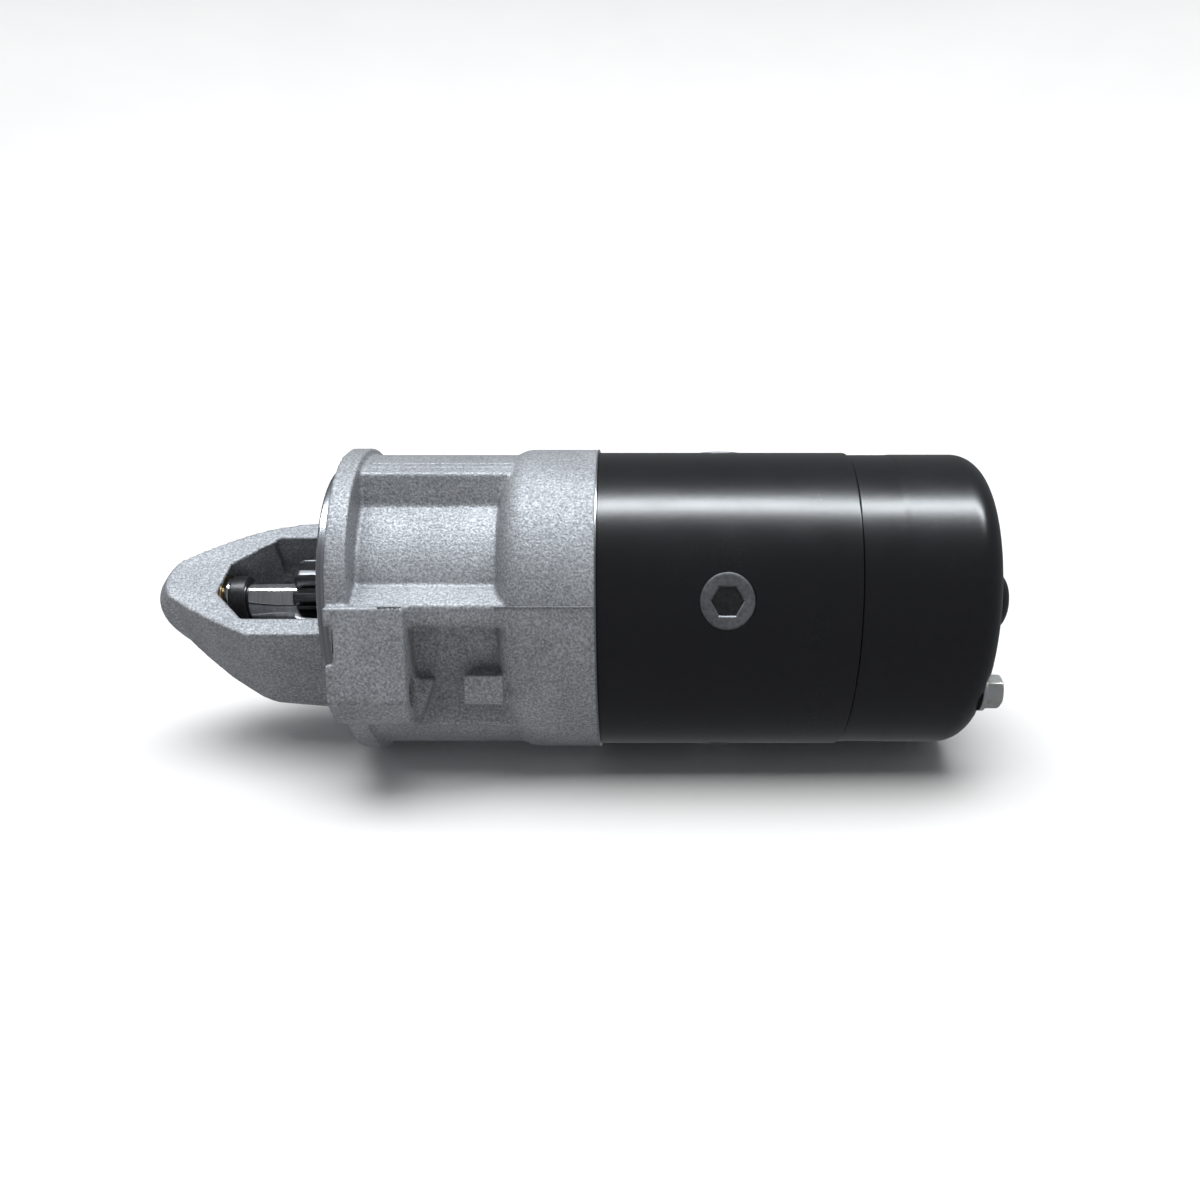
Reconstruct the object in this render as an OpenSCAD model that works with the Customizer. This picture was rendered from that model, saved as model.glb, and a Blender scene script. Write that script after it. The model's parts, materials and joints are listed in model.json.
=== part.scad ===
// Direct-drive, pre-engaged starter motor.
// +X runs along the motor axis from the flange to the end cap; the nose points to -X.
// The origin is the centre of the mounting face. It lies on its housing and its solenoid.

/* [Motor] */
// Outer radius of the yoke
yoke_r = 51; // [48:0.5:56]
// Where the yoke starts
yoke_x = 84.6; // [84:0.2:88]
// Length of the yoke
yoke_len = 84; // [84:0.1:85]
// Thickness of the yoke's wall
yoke_wall = 4.5; // [4:0.1:4.9]
// Length of the end cap without its dome
cap_len = 51.4; // [51:0.1:53]
// Radius of the end cap's corner
cap_corner_r = 10; // [8:0.5:11]
// Diameter of a pole screw's head
pole_head_d = 18; // [16:0.5:20]

/* [Armature] */
// Number of armature slots and commutator bars
bars = 21; // [15:1:25]
// Radius of the laminated core
core_r = 30; // [29:0.1:30.5]
// Radius of the commutator's track
comm_r = 19; // [18.5:0.1:19.5]

/* [Drive] */
// Radius of the shaft under the pinion
shaft_r = 7; // [6:0.25:7.5]
// Number of pinion teeth
teeth = 10; // [9:1:11]
// Tip radius of the pinion
pinion_r = 15; // [14:0.25:15.5]
// Where the pinion's front face rests
pinion_x = -22.2; // [-23:0.1:-21]
// Width of the pinion's teeth
pinion_w = 18; // [14:0.5:20]
// Travel of the drive into the ring gear
drive_travel = 18.7; // [16:0.1:18.7]

/* [Housing] */
// Radius of the machined pilot spigot
spigot_r = 46; // [44:0.5:47]
// Height of the pilot spigot
spigot_h = 4.4; // [3:0.2:6]
// Radius of the flange ring
flange_r = 52.4; // [51:0.2:54]
// Thickness of the flange ring
flange_t = 6.8; // [5:0.2:8]
// Radius of the barrel between flange and bell
barrel_r = 42; // [41:0.5:44]
// Radius of the bell next to the yoke
bell_r = 52; // [51.5:0.25:53]
// Distance of the nose's open face from the axis
window_n = 11; // [10:0.5:12]
// Diameter of the circle through the two mounting holes
lug_pcd = 105; // [100:1:110]
// Diameter of a mounting hole
lug_hole_d = 10.5; // [8.5:0.5:11]

/* [Solenoid] */
// Distance of the solenoid's axis from the motor's axis
sol_y = 80; // [80:0.5:84]
// Radius of the solenoid
sol_r = 27; // [26:0.5:28]
// Radius of the plunger
plunger_r = 12; // [11.5:0.1:12.2]
// Radius of the terminal studs' threads
stud_r = 4; // [3:0.5:5]

/* [Hidden] */
$fn = 96;

// Turn about the motor axis that sets the housing and the solenoid on one plane
rest_turn = -asin((bell_r - sol_r) / sol_y);
cap_x = yoke_x + yoke_len;
cap_end = cap_x + cap_len;
cap_r = yoke_r - 0.6;
cap_wall = 2;
// The end cap is flat inside this radius, and slopes back by this much from there to its side
cap_flat_r = 20;
cap_slope = 7;
dome_r = 11.5;
dome_h = 9.5;
dome_round_r = 5;
// The washers under the through bolts' heads rest here
bolt_seat = cap_end - 7.5;
washer_t = 1.6;
// The bell's round shoulder ends here
shoulder_x1 = 62.5;
shoulder_round = 10;
drive_bore_r = 38;
bell_bore_r = 47;
plate_x = 60;
// The pockets beside the barrel end at this distance from the axis
pocket_y = 29;
lug_angle = 33.4;
// Thickness of the lip round the nose's window
lip_t = 1.6;
bolt_ring_r = 42.4;
screw_ring_r = 42.5;
// Grease gap on a radius between two parts that turn or slide on each other
slip = 0.05;
lever_x = 33.65;
lever_y = 48;
lever_arm = 48.95;
// The lever leans as far one way at rest as the other way when the drive is out
lever_lean = asin(drive_travel / 2 / lever_arm);
stop_x = pinion_x - drive_travel - 0.1;
pole_x = 126;
groove_x = 43;
stud_y = [sol_y + 13, sol_y - 13];
// The stud is a little thinner under its nut
shank_r = stud_r - 0.2;
// Faces along the solenoid: mounting face, end of the can, end of the terminal cap
sol_x0 = 46;
sol_x1 = 112;
sol_x2 = 134;
sol_screw_z = 22;
return_bore_r = 7.5;
// Faces along the armature: core, commutator
core_x = [92, 158];
comm_x = [172, 197];
shoe_x = [97, 155];
rear_shaft_r = 6.2;
centre_shaft_r = 9;
spline_r = 8.6;
nose_shaft_r = 6.5;
clutch_r = 25;
sleeve_r = 11.9;
lead_x = 157.2;
lead_t = 2;
brush_x0 = 178;
brush_len = 14;
steel = [0.62, 0.62, 0.64];
zinc = [0.75, 0.75, 0.72];
cast = [0.72, 0.73, 0.75];
black = [0.05, 0.05, 0.06];
copper = [0.75, 0.42, 0.25];
bronze = [0.68, 0.52, 0.30];

// Brings a piece from the motor's square frame to the way it lies
module rest() {
    rotate([rest_turn, 0, 0]) children();
}

// Cylinder along X from x0 to x1, with its axis at y, z
module rod(r, x0, x1, y = 0, z = 0) {
    translate([x0, y, z]) rotate([0, 90, 0]) cylinder(r = r, h = x1 - x0);
}

module tube(r_out, r_in, x0, x1, y = 0, z = 0) {
    difference() {
        rod(r_out, x0, x1, y, z);
        rod(r_in, x0 - 1, x1 + 1, y, z);
    }
}

// Turns a profile of [radius, x] points about the motor axis
module turned(profile) {
    rotate([0, 90, 0]) rotate_extrude() polygon(profile);
}

module block(x, y, z) {
    translate([x[0], y[0], z[0]]) cube([x[1] - x[0], y[1] - y[0], z[1] - z[0]]);
}

// Cylinder pointing outward from the motor axis, at turn a (0 is +Y)
module spoke(a, x, r, r0, r1) {
    rotate([a, 0, 0]) translate([x, r0, 0]) rotate([-90, 0, 0]) cylinder(r = r, h = r1 - r0);
}

module hex(af, x0, x1, y = 0, z = 0) {
    translate([x0, y, z]) rotate([0, 90, 0]) cylinder(d = af / cos(30), h = x1 - x0, $fn = 6);
}

// Places children on the through bolts' two centre lines
module at_bolts() {
    for (a = [45, 225]) rotate([a, 0, 0]) translate([0, bolt_ring_r, 0]) children();
}

// Round wire wound along X: mean radius r, wire radius w
module coil(r, w, x0, x1, turns, y = 0) {
    steps = 12;
    sides = 6;
    count = turns * steps;
    function ring(i, j) = let (
        a = 360 * i / steps,
        b = 360 * j / sides,
        q = r + w * cos(b)
    ) [x0 + w + (x1 - x0 - 2 * w) * i / count + w * sin(b), y + q * cos(a), q * sin(a)];
    points = [for (i = [0:count]) for (j = [0:sides - 1]) ring(i, j)];
    walls = [for (i = [0:count - 1]) for (j = [0:sides - 1])
        [i * sides + j, i * sides + (j + 1) % sides,
         (i + 1) * sides + (j + 1) % sides, (i + 1) * sides + j]];
    first = [for (j = [sides - 1:-1:0]) j];
    last = [for (j = [0:sides - 1]) count * sides + j];
    polyhedron(points, concat([first], walls, [last]), convexity = 10);
}

// ---- Drive housing ----

// Outline of the nose seen square to its open face, from the tip to the flange
nose_outline = [
    [-80, 9], [-65, 9], [-58.4, 14], [-49.7, 19.5], [-42.8, 23.2], [-35, 26.3], [-26, 28.4],
    [-14, 29.8], [10, 30],
    [10, -27], [-35, -27], [-42.8, -23.2], [-49.7, -19.5], [-58.4, -14], [-65, -9], [-80, -9]
];
// Half the section of the nose as a turned body, before it is cut flat
nose_profile = [
    [0, -73], [2.6, -73], [5, -72.2], [7.1, -71], [13.2, -66], [18.9, -60], [27.5, -50], [34.3, -39],
    [36.4, -33], [37.9, -17], [38.8, -2], [38.8, 10], [0, 10]
];
// Half the section of the hollow that the pinion and the ring gear use
hollow_profile = [
    [0, -49], [6.6, -49], [18.9, -38], [21, -34], [21, -9.5], [26.5, -9.5], [26.5, 20], [0, 20]
];
// The window cut through the open face
window_outline = [
    [-49, -6.6], [-38, -18.9], [-12, -18.9], [-12, 21], [-33, 21], [-33, 19.5], [-47, 7.4]
];

module nose() {
    rotate([45, 0, 0]) intersection() {
        turned(nose_profile);
        translate([0, 0, -50]) linear_extrude(50 + window_n) polygon(nose_outline);
    }
}

module lug() {
    // Solid ear with a flat outer face and a bevel underneath
    rotate([90, 0, 90]) linear_extrude(25)
        polygon([[-38, -1.8], [-55, -1.8], [-55, -32], [-45, -39], [-31, -41], [-26, -26]]);
}

module lug_hole() {
    rotate([lug_angle, 0, 0]) rod(lug_hole_d / 2, -5, 30, -lug_pcd / 2);
}

module lever_tower() {
    block([8, 36], [30, sol_y + 16], [-16, 16]);
    block([36, 46], [30, sol_y], [-24, 24]);
    rod(sol_r, 36, 46, sol_y);
}

module lever_room() {
    block([12, 42], [20, sol_y + 12], [-12, 12]);
    rod(14, 12, 47, sol_y);
}

// Cast skin without its holes
module housing_shell() {
    nose();
    rod(spigot_r, -spigot_h, 1);
    rod(flange_r, 0, flange_t);
    rod(barrel_r, 0, 60);
    rotate([0, 90, 0]) rotate_extrude() {
        translate([0, shoulder_x1]) square([bell_r, yoke_x - shoulder_x1]);
        translate([bell_r - shoulder_round, shoulder_x1]) circle(r = shoulder_round);
    }
    // Saddles above and below the barrel
    intersection() {
        rod(bell_r - 1.7, 0, shoulder_x1);
        block([0, shoulder_x1], [-pocket_y, 60], [-60, 60]);
    }
    // Rib along the parting line, with a slope down to the barrel
    intersection() {
        rod(bell_r - 2, 0, shoulder_x1);
        rotate([90, 0, 90]) linear_extrude(shoulder_x1)
            polygon([[-40, 6], [-44, 3.5], [-50.5, -1.8], [-50.5, -8], [-38, -8]]);
    }
    lug();
    rotate([180, 0, 0]) lug();
    // Web behind the lug and a small pad
    rotate([90, 0, 0]) translate([0, 0, 15]) linear_extrude(23)
        polygon([[24, -25], [31, -25], [25.6, -38], [24, -38]]);
    block([41, 54], [-43, -20], [-33, -24]);
    lever_tower();
}

module drive_housing() {
    color(cast) rest() difference() {
        union() {
            difference() {
                housing_shell();
                rotate([45, 0, 0]) {
                    turned(hollow_profile);
                    linear_extrude(20) polygon(window_outline);
                    // Undercut that leaves a thin lip round the window
                    translate([0, 0, -6]) linear_extrude(window_n + 6 - lip_t)
                        offset(delta = 1.8) polygon(window_outline);
                }
                rod(drive_bore_r, 3, plate_x + 0.5);
                rod(bell_bore_r, plate_x, yoke_x + 1);
                lever_room();
            }
            // Bosses for the through bolts
            intersection() {
                at_bolts() rod(6.5, plate_x + 3.1, yoke_x);
                rod(bell_r, plate_x, yoke_x);
            }
        }
        rod(9, -65, -40);
        lug_hole();
        rotate([180, 0, 0]) lug_hole();
        // Relief between the two pads of the mounting lug
        block([-1, 2.8], [-60, -46.5], [-19.5, -7.7]);
        block([0.4, 2.8], [-60, -40], [-17.5, -8.7]);
        at_bolts() rod(3, plate_x + 9, yoke_x + 1);
        for (a = [90, 270]) rotate([a, 0, 0]) rod(2, plate_x - 10, plate_x + 1, screw_ring_r);
        translate([lever_x, lever_y, -17]) cylinder(r = 4, h = 34);
        for (s = [-1, 1]) rod(2.75, 30, 47, sol_y, s * sol_screw_z);
    }
}

module nose_bush() {
    color(bronze) rest() tube(9, nose_shaft_r + slip, -64.5, -49);
}

module bearing_plate() {
    color(steel) rest() difference() {
        union() {
            rod(bell_bore_r - 0.1, plate_x, plate_x + 3);
            rod(14, plate_x - 4, plate_x + 8);
        }
        rod(11, plate_x - 5, plate_x + 9);
        for (a = [90, 270]) rotate([a, 0, 0]) rod(2.2, plate_x - 1, plate_x + 4, screw_ring_r);
        for (a = [0:60:359]) rotate([a, 0, 0]) rod(5, plate_x - 1, plate_x + 4, 28);
    }
}

module centre_bush() {
    color(bronze) rest() tube(11, centre_shaft_r + slip, plate_x - 4, plate_x + 8);
}

module plate_screws() {
    color(zinc) rest() for (a = [90, 270]) rotate([a, 0, 0]) {
        rod(2, plate_x - 9, plate_x + 3.1, screw_ring_r);
        rod(3.8, plate_x + 3, plate_x + 5.4, screw_ring_r);
    }
}

// ---- Yoke and field ----

module pole_seat(a) {
    head_r = pole_head_d / 2;
    rotate([a, 0, 0]) translate([pole_x, 0, 0]) rotate([-90, 0, 0]) rotate_extrude()
        polygon([[0, 45], [4, 45], [4, 46], [head_r, yoke_r - 1.2], [head_r, 60], [0, 60]]);
}

module yoke() {
    color(black) rest() difference() {
        tube(yoke_r, yoke_r - yoke_wall, yoke_x, cap_x);
        for (a = [0:90:359]) pole_seat(a);
        spoke(0, lead_x, 8, 40, 60);
    }
}

module pole_shoes() {
    color(steel) rest() for (a = [0:90:359]) rotate([a, 0, 0]) difference() {
        union() {
            intersection() {
                rod(yoke_r - yoke_wall, shoe_x[0], shoe_x[1]);
                block(shoe_x, [33, 60], [-12.5, 12.5]);
            }
            intersection() {
                tube(34.8, core_r + 1, shoe_x[0] - 2, shoe_x[1] + 2);
                block([shoe_x[0] - 2, shoe_x[1] + 2], [20, 60], [-19, 19]);
            }
        }
        translate([pole_x, 36, 0]) rotate([-90, 0, 0]) cylinder(r = 4, h = 15);
        translate([pole_x, 45.9, 0]) rotate([-90, 0, 0]) cylinder(r = 5, h = 5);
    }
}

module pole_screws() {
    head_r = pole_head_d / 2;
    color([0.2, 0.2, 0.21]) rest() for (a = [0:90:359]) rotate([a, 0, 0]) difference() {
        translate([pole_x, 0, 0]) rotate([-90, 0, 0]) rotate_extrude()
            polygon([[0, 37], [4, 37], [4, 46], [head_r, yoke_r - 1.2], [head_r, yoke_r - 0.5],
                     [head_r - 0.4, yoke_r - 0.2], [0, yoke_r - 0.2]]);
        translate([pole_x, yoke_r - 3.7, 0]) rotate([-90, 0, 0])
            cylinder(d = 9 / cos(30), h = 10, $fn = 6);
    }
}

module field_coils() {
    color(copper) rest() for (a = [0:90:359]) rotate([a, 0, 0]) difference() {
        intersection() {
            tube(yoke_r - yoke_wall - 0.5, 35, 86, 166);
            block([86, 166], [25, 60], [-24, 24]);
        }
        block([shoe_x[0] - 0.5, shoe_x[1] + 0.5], [20, 60], [-12.7, 12.7]);
    }
}

// ---- End cap and bolts ----

// Drawn cup with rounded corners and a sloping end: outer radius r, corner radius c
module cup(r, c, x0, x1) {
    rotate([0, 90, 0]) rotate_extrude() intersection() {
        translate([0, x0]) square([r, x1 - x0]);
        offset(r = c) offset(delta = -c)
            polygon([[-r, x0 - 3 * c], [r, x0 - 3 * c], [r, x1 - cap_slope], [cap_flat_r, x1],
                     [-cap_flat_r, x1], [-r, x1 - cap_slope]]);
    }
}

// Rounded pot on the cap's end for the rear bush
module dome() {
    rotate([0, 90, 0]) rotate_extrude() {
        translate([0, cap_end - 1]) square([dome_r - dome_round_r, dome_h + 1]);
        translate([0, cap_end - 1]) square([dome_r, dome_h + 1 - dome_round_r]);
        translate([dome_r - dome_round_r, cap_end + dome_h - dome_round_r]) circle(r = dome_round_r);
    }
}

module end_cap() {
    color(black) rest() difference() {
        union() {
            difference() {
                cup(cap_r, cap_corner_r, cap_x, cap_end);
                at_bolts() rod(9.5, bolt_seat, cap_end + 5);
            }
            dome();
        }
        difference() {
            cup(cap_r - cap_wall, cap_corner_r - cap_wall, cap_x - 1, cap_end - cap_wall);
            at_bolts() rod(11.5, bolt_seat - cap_wall, cap_end + 5);
        }
        // Seat of the rear bush, and room for the end of the shaft
        rod(dome_r - cap_wall, cap_end - 10, cap_end + dome_h - dome_round_r);
        rod(dome_r - cap_wall - 2, cap_end - 10, cap_end + dome_h - cap_wall);
        at_bolts() rod(3.3, bolt_seat - 5, cap_end);
    }
}

module rear_bush() {
    color(bronze) rest()
        tube(dome_r - cap_wall, rear_shaft_r + slip, cap_end - 6, cap_end + dome_h - dome_round_r);
}

module through_bolts() {
    seat = bolt_seat + washer_t;
    color(zinc) rest() at_bolts() {
        rod(3, plate_x + 10, seat + 1);
        hex(10, seat, seat + 5.5);
    }
}

module bolt_washers() {
    color(zinc) rest() at_bolts() tube(6.5, 3, bolt_seat, bolt_seat + washer_t);
}

// ---- Brush gear ----

module brush_plate() {
    color(steel) rest() difference() {
        tube(cap_r - cap_wall - 0.1, 23, 196.5, 198.5);
        at_bolts() rod(6, 190, 205);
    }
}

module brush_holders() {
    color([0.55, 0.45, 0.3]) rest() for (a = [0:90:359]) rotate([a, 0, 0]) difference() {
        block([176.5, 196.5], [22, 42], [-6.2, 6.2]);
        block([brush_x0 - 0.2, brush_x0 + brush_len + 0.2], [20, 40.5], [-4.2, 4.2]);
    }
}

module brushes() {
    color([0.15, 0.14, 0.14]) rest() for (a = [0:90:359]) rotate([a, 0, 0]) difference() {
        block([brush_x0, brush_x0 + brush_len], [18.5, 32], [-4, 4]);
        rod(comm_r + slip, 170, 200);
    }
}

module brush_springs() {
    color(steel) rest() for (a = [0:90:359]) rotate([a, 0, 0])
        translate([brush_x0 + brush_len / 2, 0, 0]) rotate([0, 0, 90]) coil(3, 0.5, 32.05, 40.4, 4);
}

// ---- Armature ----

module armature_shaft() {
    color(steel) rest() {
        rod(nose_shaft_r, -64, -48);
        rod(shaft_r, -48.05, 25);
        difference() {
            rod(spline_r, 25, 54);
            for (a = [0:45:359]) rotate([a, 0, 0])
                block([24, 52], [spline_r - 1, spline_r + 1.4], [-1.6, 1.6]);
        }
        rod(centre_shaft_r, 54, 72);
        rod(10, 72, 204);
        rod(rear_shaft_r, 204, cap_end + 4);
    }
}

module armature_core() {
    color(steel) rest() difference() {
        tube(core_r, 10, core_x[0], core_x[1]);
        for (i = [0:bars - 1]) rotate([i * 360 / bars, 0, 0])
            block([core_x[0] - 1, core_x[1] + 1], [17, core_r + 1], [-1.7, 1.7]);
    }
}

module armature_windings() {
    color(copper) rest() {
        for (i = [0:bars - 1]) rotate([i * 360 / bars, 0, 0])
            block([core_x[0] - 0.5, core_x[1] + 0.5], [17.4, core_r - 1.5], [-1.5, 1.5]);
        turned([[16, 78], [24, 76], [29, 80], [29, 91.9], [16, 91.9]]);
        turned([[16, 158.1], [28, 158.1], [28, 166], [20, 171.9], [16, 171.9]]);
    }
}

module commutator() {
    color(copper) rest() difference() {
        union() {
            tube(comm_r, 10, comm_x[0], comm_x[1]);
            tube(comm_r + 2.5, 10, comm_x[0], comm_x[0] + 3);
        }
        for (i = [0:bars - 1]) rotate([(i + 0.5) * 360 / bars, 0, 0])
            block([comm_x[0] - 1, comm_x[1] + 1], [comm_r - 1.4, comm_r + 4], [-0.35, 0.35]);
    }
}

module stop_collar() {
    color(black) rest() tube(8.8, shaft_r, stop_x - 5.4, stop_x);
}

module thrust_washers() {
    color(zinc) rest() {
        tube(8.6, shaft_r, -48, -46.6);
        tube(9.5, rear_shaft_r, 205, 206.5);
    }
}

// ---- Drive ----

// Outline of one tooth as [radius, half angle] steps
tooth_steps = [[pinion_r - 5, 15], [pinion_r - 3.4, 11.8], [pinion_r - 1.5, 8.4], [pinion_r, 4.6]];

function polar(r, a) = [r * cos(a), r * sin(a)];

module pinion() {
    pitch = 360 / teeth;
    outline = [for (i = [0:teeth - 1]) each concat(
        [for (s = tooth_steps) polar(s[0], i * pitch - s[1])],
        [for (k = [3:-1:0]) polar(tooth_steps[k][0], i * pitch + tooth_steps[k][1])]
    )];
    color([0.33, 0.33, 0.35]) rest() difference() {
        union() {
            intersection() {
                translate([pinion_x, 0, 0]) rotate([90, 0, 90]) rotate([0, 0, 175])
                    linear_extrude(pinion_w) polygon(outline);
                turned([[0, pinion_x], [pinion_r - 1.2, pinion_x], [pinion_r + 0.1, pinion_x + 2.2],
                        [pinion_r + 0.1, 0], [0, 0]]);
            }
            rod(11.5, pinion_x + pinion_w - 1, 12.4);
            rod(14, 12.3, 24.3);
        }
        rod(shaft_r + slip, -30, 30);
    }
}

module clutch_shell() {
    color([0.4, 0.4, 0.42]) rest() difference() {
        rod(clutch_r, 10, 30);
        rod(11.7, 9, 13);
        rod(clutch_r - 5, 12.1, 26.5);
        rod(sleeve_r, 26, 31);
    }
}

module clutch_rollers() {
    color(steel) rest() for (a = [0:60:359]) rotate([a, 0, 0]) rod(2.9, 13, 25.5, 17);
}

module drive_sleeve() {
    color(steel) rest() {
        difference() {
            union() {
                rod(sleeve_r, 26.5, 50);
                rod(18, 37.8, groove_x - 3);
                rod(18, groove_x + 3, 48.2);
            }
            rod(spline_r + slip, 26, 51);
        }
        // Keys that run in the shaft's splines
        for (a = [0:45:359]) rotate([a, 0, 0]) block([28, 50], [7.75, 9.5], [-1.5, 1.5]);
    }
}

module meshing_spring() {
    color(steel) rest() coil(14, 1, 30.1, 37.7, 3);
}

// ---- Lever and solenoid ----

module at_lever() {
    translate([lever_x, lever_y, 0]) rotate([0, 0, lever_lean]) children();
}

module shift_lever() {
    color([0.2, 0.2, 0.21]) rest() at_lever() difference() {
        union() {
            for (s = [-1, 1]) {
                block([-3, 3], [-51, -20], s > 0 ? [18.5, 22.5] : [-22.5, -18.5]);
                translate([0, -lever_arm, s > 0 ? 12.9 : -20]) cylinder(r = 2.85, h = 7.1);
            }
            block([-3, 3], [-26, -20], [-22.5, 22.5]);
            block([-3, 3], [-24, 20], [-7, 7]);
            translate([0, 0, -7]) cylinder(r = 8, h = 14);
            block([-3, 3], [19, 29], [-4.4, 4.4]);
            translate([0, 31.3, -4.4]) cylinder(r = 2.9, h = 8.8);
        }
        translate([0, 0, -30]) cylinder(r = 4 + slip, h = 60);
    }
}

module lever_pin() {
    color(zinc) rest() translate([lever_x, lever_y, -16]) cylinder(r = 4, h = 32);
}

module solenoid_body() {
    color(black) rest() difference() {
        rod(sol_r, sol_x0, sol_x1, sol_y);
        rod(plunger_r + 0.6, sol_x0 - 1, sol_x0 + 5, sol_y);
        rod(sol_r - 2, sol_x0 + 4, sol_x1 + 1, sol_y);
        for (s = [-1, 1]) rod(2.5, sol_x0 - 1, sol_x0 + 6, sol_y, s * sol_screw_z);
    }
}

module solenoid_core() {
    color(steel) rest() difference() {
        union() {
            rod(plunger_r, 90, 106, sol_y);
            rod(sol_r - 2, 102, sol_x1 - 4, sol_y);
        }
        rod(3.6, 80, 110, sol_y);
    }
}

module solenoid_coil() {
    color(copper) rest() tube(sol_r - 2.5, plunger_r + 0.6, sol_x0 + 4.4, 101.8, sol_y);
}

module plunger() {
    color(zinc) rest() difference() {
        union() {
            rod(8, 18, 38, sol_y);
            rod(plunger_r, 37, 76, sol_y);
        }
        block([23.2, 32.2], [sol_y - 12, sol_y + 5], [-4.8, 4.8]);
        rod(return_bore_r, 60, 77, sol_y);
    }
}

module return_spring() {
    color(steel) rest() coil(6, 0.7, 60.1, 89.9, 6, sol_y);
}

module contact_rod() {
    color(steel) rest() {
        rod(3, 69.5, 122, sol_y);
        rod(4.5, 115, 117, sol_y);
    }
}

module contact_disc() {
    color(copper) rest() tube(16.3, 3, 117, 119.4, sol_y);
}

module solenoid_cap() {
    color(black) rest() difference() {
        union() {
            rod(sol_r - 2, sol_x1 - 4, sol_x1, sol_y);
            rod(sol_r - 0.4, sol_x1, sol_x2, sol_y);
        }
        rod(20.5, sol_x1 - 5, sol_x2 - 6, sol_y);
        for (y = stud_y) rod(shank_r, 120, 140, y);
        block([120, 140], [sol_y - 3.2, sol_y + 3.2], [16.5, 17.4]);
    }
}

module terminal_studs() {
    color(copper) rest() for (y = stud_y) {
        hex(12, sol_x2 - 11.95, sol_x2 - 6, y);
        rod(shank_r, sol_x2 - 7, 145, y);
        rod(stud_r, 144, 154, y);
    }
}

module terminal_nuts() {
    color(zinc) rest() for (y = stud_y) {
        x0 = y < sol_y ? sol_x2 + lead_t : sol_x2;
        tube(7.5, shank_r, x0, x0 + 1.4, y);
        difference() {
            hex(13, x0 + 1.4, x0 + 7.9, y);
            rod(shank_r, x0, x0 + 9, y);
        }
    }
}

module trigger_terminal() {
    color([0.8, 0.68, 0.35]) rest() {
        block([121, 147], [sol_y - 3.15, sol_y + 3.15], [16.55, 17.35]);
    }
}

module solenoid_screws() {
    color(zinc) rest() for (s = [-1, 1]) {
        rod(2.5, 35, 50, sol_y, s * sol_screw_z);
        rod(4.4, 31.5, 36, sol_y, s * sol_screw_z);
    }
}

module motor_lead() {
    y = stud_y[1];
    color(copper) rest() difference() {
        union() {
            block([sol_x2, sol_x2 + lead_t], [55, y], [-6, 6]);
            rod(7, sol_x2, sol_x2 + lead_t, y);
            block([sol_x2, lead_x + 1], [55, 55 + lead_t], [-6, 6]);
            block([lead_x - 1, lead_x + 1], [46.1, 55 + lead_t], [-5, 5]);
        }
        rod(shank_r, 130, 140, y);
    }
}

module lead_grommet() {
    color([0.08, 0.08, 0.08]) rest() difference() {
        union() {
            spoke(0, lead_x, 7.95, yoke_r - yoke_wall + 0.1, yoke_r + 0.5);
            spoke(0, lead_x, 10, yoke_r + 0.05, yoke_r + 2.4);
        }
        block([lead_x - 1.05, lead_x + 1.05], [40, 60], [-5.05, 5.05]);
    }
}

drive_housing();
nose_bush();
bearing_plate();
centre_bush();
plate_screws();
yoke();
pole_shoes();
pole_screws();
field_coils();
end_cap();
rear_bush();
through_bolts();
bolt_washers();
brush_plate();
brush_holders();
brushes();
brush_springs();
armature_shaft();
armature_core();
armature_windings();
commutator();
stop_collar();
thrust_washers();
pinion();
clutch_shell();
clutch_rollers();
drive_sleeve();
meshing_spring();
shift_lever();
lever_pin();
solenoid_body();
solenoid_core();
solenoid_coil();
plunger();
return_spring();
contact_rod();
contact_disc();
solenoid_cap();
terminal_studs();
terminal_nuts();
trigger_terminal();
solenoid_screws();
motor_lead();
lead_grommet();
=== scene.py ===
"""Looks of the starter motor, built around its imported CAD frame."""

import json
import math

import bmesh
import bpy
import numpy as np
from mathutils import Matrix, Vector


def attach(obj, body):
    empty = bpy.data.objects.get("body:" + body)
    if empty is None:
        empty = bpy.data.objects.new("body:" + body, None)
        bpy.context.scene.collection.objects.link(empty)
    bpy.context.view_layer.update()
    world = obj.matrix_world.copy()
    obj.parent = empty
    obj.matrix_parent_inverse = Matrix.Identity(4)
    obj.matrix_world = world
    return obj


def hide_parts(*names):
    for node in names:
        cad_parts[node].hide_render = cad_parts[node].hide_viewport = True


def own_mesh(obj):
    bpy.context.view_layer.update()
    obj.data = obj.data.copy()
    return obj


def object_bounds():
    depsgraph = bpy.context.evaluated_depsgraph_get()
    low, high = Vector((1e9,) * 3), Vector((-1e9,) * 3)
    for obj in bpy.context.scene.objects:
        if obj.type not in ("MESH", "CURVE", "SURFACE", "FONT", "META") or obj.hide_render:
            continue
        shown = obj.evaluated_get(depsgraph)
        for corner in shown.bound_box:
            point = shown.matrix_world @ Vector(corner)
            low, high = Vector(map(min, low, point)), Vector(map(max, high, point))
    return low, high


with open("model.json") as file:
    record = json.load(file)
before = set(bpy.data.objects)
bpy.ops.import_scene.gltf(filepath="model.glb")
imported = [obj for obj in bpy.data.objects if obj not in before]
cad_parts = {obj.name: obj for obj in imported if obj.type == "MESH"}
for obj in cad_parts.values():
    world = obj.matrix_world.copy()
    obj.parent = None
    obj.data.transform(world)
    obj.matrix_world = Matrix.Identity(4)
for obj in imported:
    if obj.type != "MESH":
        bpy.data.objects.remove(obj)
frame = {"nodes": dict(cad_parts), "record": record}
cad_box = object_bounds()

MM = 0.001

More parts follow.
